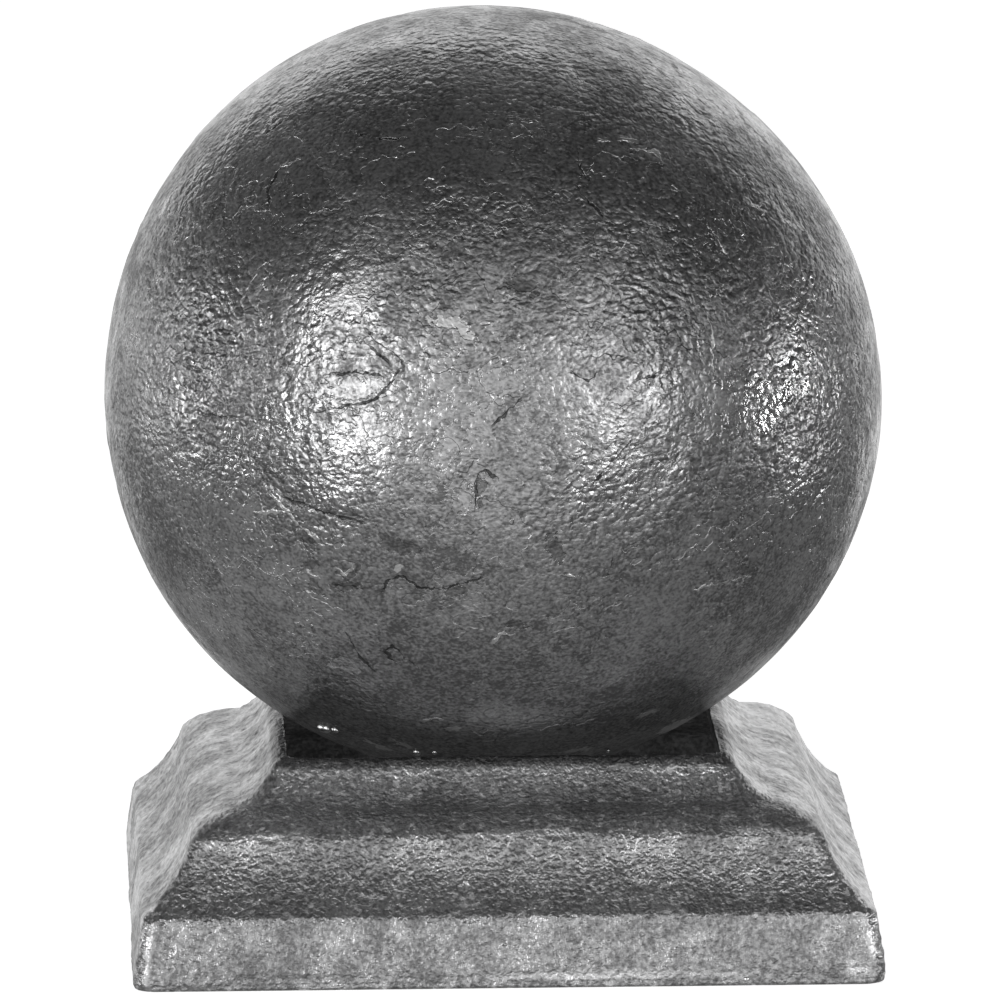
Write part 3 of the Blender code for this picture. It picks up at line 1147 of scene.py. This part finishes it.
def forged_material(ball):
    """Mill scale on hot forged steel: dark, half glossy and pebbled, with ragged pitted crust,
    cracks, thin ridges painted light as glints, smooth plates, flakes painted light as
    highlights, dark chips, and painted shade in the pebbles' creases."""
    material, tree, shader, place = new_material("forged mill scale")
    pebbles = place_group(
        tree, shared("Pebbled relief", pebble_group),
        Vector=place, Size=ball.pebble_size, Stretch=1.25, Push=1.0 * MM,
    )
    tone = place_group(
        tree, shared("Tonal patches", patch_group),
        Vector=place, Broad_Size=22 * MM, Mottle_Size=4 * MM, Mottle=0.6,
    )["Tone"]
    masks = {}
    for name, (size, detail, roughness, *span) in FORGED_NOISE.items():
        masks[name] = ramp_node(tree, noise_node(tree, place, size, detail, roughness), *span)
    waver = math_node(tree, "SUBTRACT", noise_node(tree, place, 1.5 * MM, 2.0, 0.6), 0.5)
    rag = times(tree, waver, 3.0)
    flake_highlight, plate, chip = (ragged_mask(tree, name, rag) for name in ("flake_highlight", "plate", "chip"))
    unplated = math_node(tree, "SUBTRACT", 1.0, plate)
    crust = times(tree, times(tree, masks["crust"], masks["zone"]), unplated)
    loose = masks["loose"]
    wobble = times(tree, waver, 1.5)
    width = times(tree, masks["swell"], STROKE_WIDTH)
    wide = times(tree, width, RIDGE_WIDER)
    crack = largest(tree, [stroke_mask(tree, "crack_" + each, width, wobble) for each in "abcd"])
    # Ridges: thin raised lines, painted light as glints.
    ridge_and_glint = largest(tree, [stroke_mask(tree, "ridge_" + each, wide, wobble) for each in "ab"])

    depth = ball.pebble_depth / MM
    pebbled = attribute_node(tree, "pebbled")
    uneven = times(tree, times(tree, masks["uneven"], depth), pebbled)
    smooth = weighted(tree, 1.0, [(flake_highlight, -0.5), (plate, -0.55), (loose, -0.25)])
    height = times(tree, pebbles["Height"], times(tree, uneven, smooth))
    height = weighted(tree, height, [
        (pebbles["Fine"], 0.26 * depth), (crust, -0.045), (loose, -0.05), (flake_highlight, 0.05),
        (chip, -0.10), (crack, -0.13), (ridge_and_glint, 0.12),
    ])

    # Painted shade: the pebbles' height makes their creases darker and their tops lighter.
    wear_and_painted_light = weighted(tree, -1.28, [
        (attribute_node(tree, "bare"), 0.15), (tone, 0.42), (loose, 0.10), (pebbles["Fine"], 2.0),
        (pebbles["Height"], 0.62), (crust, -0.26), (plate, 0.06),
    ])
    wear_and_painted_light = math_node(tree, "ADD", wear_and_painted_light, 0.0, clamp=True)
    skin = mix_colour(tree, wear_and_painted_light, (*ball.dark, 1), (*ball.light, 1))
    # Flakes and ridges are painted light, as highlights and glints; chips and cracks are
    # darkened.
    tints = ((flake_highlight, 0.65, 0.72), (chip, 0.48, 0.05), (ridge_and_glint, 0.60, 0.80), (crack, 0.75, 0.02))
    for mask, strength, value in tints:
        skin = mix_colour(tree, times(tree, mask, strength), skin, (value, value, value, 1))
    rough = ramp_node(tree, tone, 0.0, 1.0, ball.roughness + 0.22, ball.roughness + 0.05)
    rough = weighted(tree, rough, [(plate, 0.05), (chip, 0.12), (crust, 0.05), (pebbled, -0.14)])
    normal = bump_node(tree, height)
    feed_all(tree, shader, Base_Color=skin, Roughness=rough, Metallic=1.0, Normal=normal)
    return material


def cast_material(cap):
    """The skin of a sand casting: even fine grain, lighter where it is rubbed, towards the right
    and a little on the sides, with specks painted light as glints, bare metal with painted edge
    highlights, dull specks of burnt sand, and painted shade on the lip under the ball."""
    material, tree, shader, place = new_material("sand cast skin")
    group = shared("Sand grain", grain_group)
    along = vector_node(tree, "MULTIPLY", place, DRAWN)
    grain = place_group(tree, group, Vector=place, Size=cap.grain_size)
    drawn = place_group(tree, group, Vector=along, Size=1.2 * cap.grain_size)
    tone = place_group(
        tree, shared("Tonal patches", patch_group),
        Vector=place, Broad_Size=13 * MM, Mottle_Size=2.5 * MM, Mottle=0.7,
    )["Tone"]
    side = attribute_node(tree, "side")
    depth = cap.grain_depth / MM
    front_height = times(tree, grain["Height"], depth)
    height = blend(tree, side, front_height, times(tree, drawn["Height"], 1.5 * depth))
    # The specks are painted light, as glints.
    speck_glint = blend(tree, side, grain["Speck Glint"], drawn["Speck Glint"])
    # Lighter where rubbed and towards the right, a little lighter on the sides, specks painted
    # light as glints, and bare metal with painted edge highlights.
    wear_and_painted_light = weighted(tree, -0.12, [
        (attribute_node(tree, "rubbed_and_right_lighter"), 0.12), (tone, 0.34), (speck_glint, 0.42),
        (attribute_node(tree, "bare_metal_and_edge_glint"), 0.6), (side, 0.08),
    ])
    wear_and_painted_light = math_node(tree, "ADD", wear_and_painted_light, 0.0, clamp=True)
    skin = mix_colour(tree, wear_and_painted_light, (*cap.dark, 1), (*cap.light, 1))
    # Painted shade: the lip under the ball is darkened.
    lip_shade_factor = times(tree, attribute_node(tree, "lip_shade"), 0.75)
    skin = mix_colour(tree, lip_shade_factor, skin, (0.07, 0.07, 0.07, 1))
    rough = ramp_node(tree, tone, 0.0, 1.0, cap.roughness + 0.08, cap.roughness - 0.06)
    burnt = noise_node(tree, place, 1.3 * MM, 3.0, 0.65)
    metallic = ramp_node(tree, burnt, 0.56, 0.64, 1.0, 0.4)
    normal = bump_node(tree, height)
    feed_all(tree, shader, Base_Color=skin, Roughness=rough, Metallic=metallic, Normal=normal)
    return material


# The studio


def camera_axes(studio):
    """The camera's right, up and back directions: it stands round to the side by the turn, looks
    down by the rise, and is then rolled about its line of sight."""
    turn, rise = studio.turn, studio.rise
    back = Vector(
        (math.sin(turn) * math.cos(rise), -math.cos(turn) * math.cos(rise), math.sin(rise))
    )
    right = Vector((math.cos(turn), math.sin(turn), 0))
    up = back.cross(right)
    return right, up, back


def camera_stand(studio):
    """Where the camera stands, and its right, up and back directions once it is rolled."""
    right, up, back = camera_axes(studio)
    aim = right * studio.aim_aside + Vector((0, 0, studio.aim_height))
    rolled_right = right * math.cos(studio.roll) + up * math.sin(studio.roll)
    rolled_up = up * math.cos(studio.roll) - right * math.sin(studio.roll)
    return aim + back * studio.distance, rolled_right, rolled_up, back


def add_camera(studio):
    stand, right, up, back = camera_stand(studio)
    data = bpy.data.cameras.new("photo_camera")
    data.sensor_width = SENSOR_MM
    data.lens = SENSOR_MM * studio.focal_pixels / PHOTO_PIXELS
    data.clip_end = 50
    camera = add_object("photo_camera", data)
    turned = Matrix((right, up, back)).transposed().to_4x4()
    camera.matrix_world = Matrix.Translation(stand) @ turned
    bpy.context.scene.camera = camera


# Each softbox: angle to the right of the camera's line, angle above it, width, height, distance
# and brightness. The angles put its reflection in the ball where the photograph shows it.
SOFTBOXES = {
    "key_left": (-41.5, 1, 0.38, 0.95, 1.3, 6.0),
    "fill_right": (41, 5, 0.38, 0.82, 1.3, 4.4),
    "strip_left": (-95, 2, 0.13, 0.34, 1.2, 14.0),
    "card_left": (-117, 5, 0.70, 0.42, 1.2, 1.0),
    "strip_right": (98, -1, 0.11, 0.27, 1.2, 25.0),
}


def add_softbox(name, studio, aside, above, width, height, distance, brightness):
    """A rectangular light that faces the ball. Its power is pi times its area times its
    brightness, which makes the brightness that of its surface."""
    right, up, back = camera_axes(studio)
    aside, above = math.radians(aside), math.radians(above)
    level = right * math.sin(aside) + back * math.cos(aside)
    towards = level * math.cos(above) + up * math.sin(above)
    data = bpy.data.lights.new(name, "AREA")
    data.shape = "RECTANGLE"
    data.size, data.size_y = width, height
    data.energy = math.pi * width * height * brightness
    light = add_object(name, data)
    middle = Vector(((BALL_LOW + BALL_HIGH) / 2).tolist())
    turned = towards.to_track_quat("Z", "Y").to_matrix().to_4x4()
    light.matrix_world = Matrix.Translation(middle + towards * distance) @ turned
    light.visible_camera = False


# The white paper as the ball sees it: an oval of directions round the way straight back. These
# are its middle, to the right and up, its half width, and its half heights above and below.
PAPER_ASIDE, PAPER_UP = 0.08, 0.05
PAPER_WIDE, PAPER_ABOVE, PAPER_BELOW = 0.62, 0.70, 0.45


def add_world(studio):
    """White paper behind the object and a dim room in front: the brightness is blended by where
    a direction lies in an oval round the way straight back."""
    world = bpy.data.worlds.new("studio")
    bpy.context.scene.world = world
    world.use_nodes = True
    tree = world.node_tree
    tree.nodes.clear()
    output = tree.nodes.new("ShaderNodeOutputWorld")
    background = tree.nodes.new("ShaderNodeBackground")
    coordinate = tree.nodes.new("ShaderNodeTexCoord")
    split = tree.nodes.new("ShaderNodeSeparateXYZ")
    tree.links.new(coordinate.outputs["Generated"], split.inputs[0])
    x, y, z = split.outputs
    wide = math_node(tree, "DIVIDE", math_node(tree, "SUBTRACT", x, PAPER_ASIDE), PAPER_WIDE)
    above = math_node(tree, "DIVIDE", math_node(tree, "SUBTRACT", z, PAPER_UP), PAPER_ABOVE)
    under = math_node(tree, "DIVIDE", math_node(tree, "SUBTRACT", PAPER_UP, z), PAPER_BELOW)
    tall = math_node(tree, "MAXIMUM", above, under)
    oval = math_node(tree, "MULTIPLY_ADD", wide, wide, times(tree, tall, tall))
    paper = ramp_node(tree, oval, 0.88, 1.06, 1.0, 0.0)
    paper = times(tree, paper, ramp_node(tree, y, 0.0, 0.15))
    light_path = tree.nodes.new("ShaderNodeLightPath")
    paper = math_node(tree, "MAXIMUM", paper, light_path.outputs["Is Camera Ray"])
    towards = tree.nodes.new("ShaderNodeVectorMath")
    towards.operation = "DOT_PRODUCT"
    tree.links.new(coordinate.outputs["Generated"], towards.inputs[0])
    towards.inputs[1].default_value = Vector((math.sin(studio.turn), -1, 0.09)).normalized()
    lobe = ramp_node(tree, towards.outputs["Value"], 0.55, 1.0, 0.0, studio.front)
    dim = ramp_node(tree, z, 0.9, -0.8, studio.overhead, studio.below)
    room = math_node(tree, "MULTIPLY_ADD", dim, ramp_node(tree, x, 0.1, 0.8, 1.0, 0.62), lobe)
    mix = tree.nodes.new("ShaderNodeMix")
    strength = feed_all(tree, mix, Factor=paper, A=room, B=studio.backdrop)["Result"]
    tree.links.new(strength, background.inputs["Strength"])
    tree.links.new(background.outputs[0], output.inputs["Surface"])


FLOOR_RADIUS = 12.0
FLOOR_SIDES = 96
# The square of painted shade below the cap: how far in from the cap's edge it ends, and how high
# it lies.
COVER_INSET = 4 * MM
COVER_HEIGHT = 0.05 * MM


def add_floor(studio):
    """A wide pale disc under the object, worked out as one ring about its middle, and under the
    cap a dark square of painted shade that keeps the floor's light out of its hollow, with a
    faint painted glow of its own."""
    turns = np.linspace(0, 2 * math.pi, FLOOR_SIDES + 1)[:-1]
    circle = np.stack([np.cos(turns), np.sin(turns), np.zeros_like(turns)], axis=-1)
    points = np.concatenate([np.zeros((1, 3)), circle * FLOOR_RADIUS])
    around = np.arange(FLOOR_SIDES)
    fans = np.stack([np.zeros_like(around), 1 + around, 1 + np.roll(around, -1)], axis=-1)
    material, tree, shader, _ = new_material("pale floor")
    feed_all(
        tree, shader, Base_Color=(studio.floor,) * 3 + (1,), Roughness=0.9,
        Specular_IOR_Level=0.1, Emission_Color=(1, 1, 1, 1), Emission_Strength=studio.floor_glow,
    )
    floor = make_mesh("floor", points, fans, material)
    floor.visible_glossy = False
    half = float(CAP_HIGH[0]) - COVER_INSET
    corners = [(-half, -half), (half, -half), (half, half), (-half, half)]
    square = np.array([(*corner, COVER_HEIGHT) for corner in corners])
    # Painted shade in the cap's hollow, with a faint painted glow.
    shade, tree, shader, _ = new_material("shaded floor")
    feed_all(
        tree, shader, Base_Color=(0.16, 0.16, 0.16, 1), Roughness=1.0,
        Emission_Color=(1, 1, 1, 1), Emission_Strength=0.055,
    )
    covered = make_mesh("covered_floor", square, np.array([(0, 1, 2, 3)]), shade)


class POSTTOP_OT_studio(bpy.types.Operator):
    """Set up the camera, the lights and the floor"""

    bl_idname = "posttop.studio"
    bl_label = "Studio"

    def execute(self, context):
        studio = context.scene.post_top.studio
        add_camera(studio)
        add_world(studio)
        add_floor(studio)
        for name, values in SOFTBOXES.items():
            add_softbox(name, studio, *values)
        context.scene.view_settings.view_transform = "Standard"
        return {"FINISHED"}


class POSTTOP_PT_panel(bpy.types.Panel):
    """Lists the pieces and their settings"""

    bl_label = "Ball Post Top"
    bl_idname = "POSTTOP_PT_panel"
    bl_space_type = "VIEW_3D"
    bl_region_type = "UI"
    bl_category = "Post Top"

    def draw(self, context):
        settings = context.scene.post_top
        for operator, group in PANEL_ROWS:
            self.layout.operator(operator)
            if group is None:
                continue
            values = getattr(settings, group)
            box = self.layout.box()
            for name in values.__annotations__:
                box.prop(values, name)


PANEL_ROWS = (
    ("posttop.ball", "ball"),
    ("posttop.cap", "cap"),
    ("posttop.spatter", None),
    ("posttop.studio", "studio"),
)
CLASSES = (
    BallSettings,
    CapSettings,
    StudioSettings,
    PostTopSettings,
    POSTTOP_OT_ball,
    POSTTOP_OT_cap,
    POSTTOP_OT_spatter,
    POSTTOP_OT_studio,
    POSTTOP_PT_panel,
)


def register():
    for cls in CLASSES:
        bpy.utils.register_class(cls)
    bpy.types.Scene.post_top = PointerProperty(type=PostTopSettings)


def unregister():
    del bpy.types.Scene.post_top
    for cls in reversed(CLASSES):
        bpy.utils.unregister_class(cls)


def main():
    register()
    bpy.ops.posttop.ball()
    bpy.ops.posttop.cap()
    bpy.ops.posttop.spatter()
    bpy.ops.posttop.studio()


if __name__ == "__main__":
    main()
